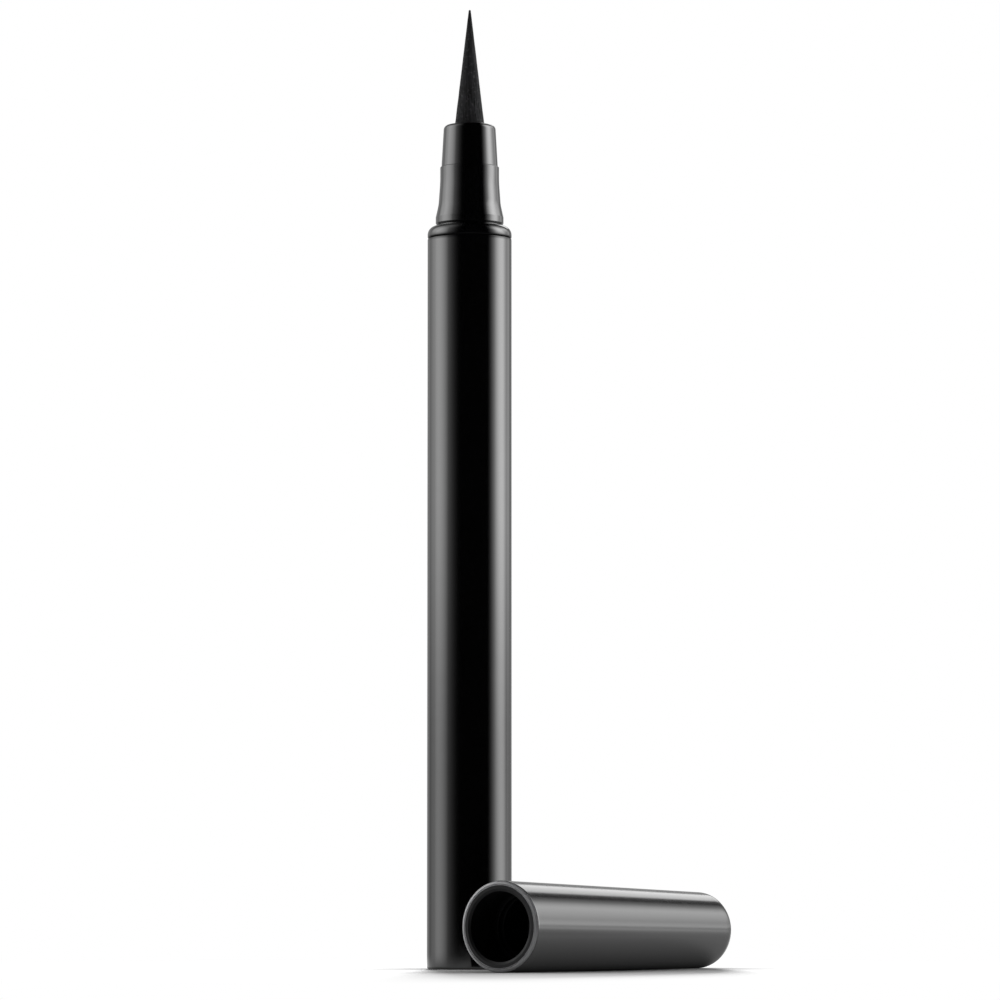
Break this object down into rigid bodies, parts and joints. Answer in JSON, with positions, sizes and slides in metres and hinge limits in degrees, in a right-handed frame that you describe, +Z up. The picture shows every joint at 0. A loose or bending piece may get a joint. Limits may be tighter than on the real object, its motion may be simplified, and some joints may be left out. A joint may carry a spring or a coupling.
{
  "type": "liquid eyeliner pen",
  "caption": "Slim upright pen-shaped liquid eyeliner container with a conical fibre tip, an internal ink tank and collector, and a sprung-seal cap laid beside it.",
  "frame": {"origin": "centre of the pen's flat foot, on the surface that the pen stands on", "axes": "+Z up the pen towards its tip; +X along the cap laid beside the pen, from its mouth towards its closed end; the cap lies on the -Y side"},
  "size_m": [0.0461, 0.0306, 0.1199],
  "materials": {
    "gloss_black": "polished moulded plastic",
    "satin_black": "satin moulded plastic",
    "tip_fibre": "bonded fibre soaked with black ink",
    "core_fibre": "bonded fibre rod",
    "natural_plastic": "uncoloured moulded plastic",
    "seal_rubber": "soft elastomer",
    "steel": "bright stainless steel"
  },
  "bodies": {
    "pen": {"barrel": "gloss_black", "tail_plug": "satin_black", "tank_plug": "natural_plastic", "ink_tank": "natural_plastic", "collector": "natural_plastic", "tank_seal": "seal_rubber", "feed_core": "core_fibre", "collector_housing": "natural_plastic", "neck": "gloss_black", "shoulder_ring": "gloss_black", "nozzle": "gloss_black", "tip_holder": "satin_black", "fibre_tip": "tip_fibre"},
    "stirring_ball": {"mixing_ball": "steel"},
    "cap": {"cap_shell": "gloss_black", "cap_liner": "satin_black", "keeper_ring": "satin_black", "cap_spring": "steel"},
    "sprung_inner_cap": {"inner_cap": "satin_black", "inner_cap_seal": "seal_rubber"}
  },
  "joints": [
    {"name": "ball_travel", "type": "slide", "parent": "pen", "child": "stirring_ball", "axis": [0, 0, 1], "range_m": [0, 0.0407]},
    {"name": "cap_lift", "type": "slide", "parent": "pen", "child": "cap", "axis": [0, 0, 1], "range_m": [0, 0.15]},
    {"name": "inner_cap_slide", "type": "slide", "parent": "cap", "child": "sprung_inner_cap", "axis": [0.9999, 0, -0.016], "range_m": [0, 0.0015], "stiffness_N_per_m": 500, "springref_m": -0.002, "deforming": ["cap_spring"]}
  ]
}
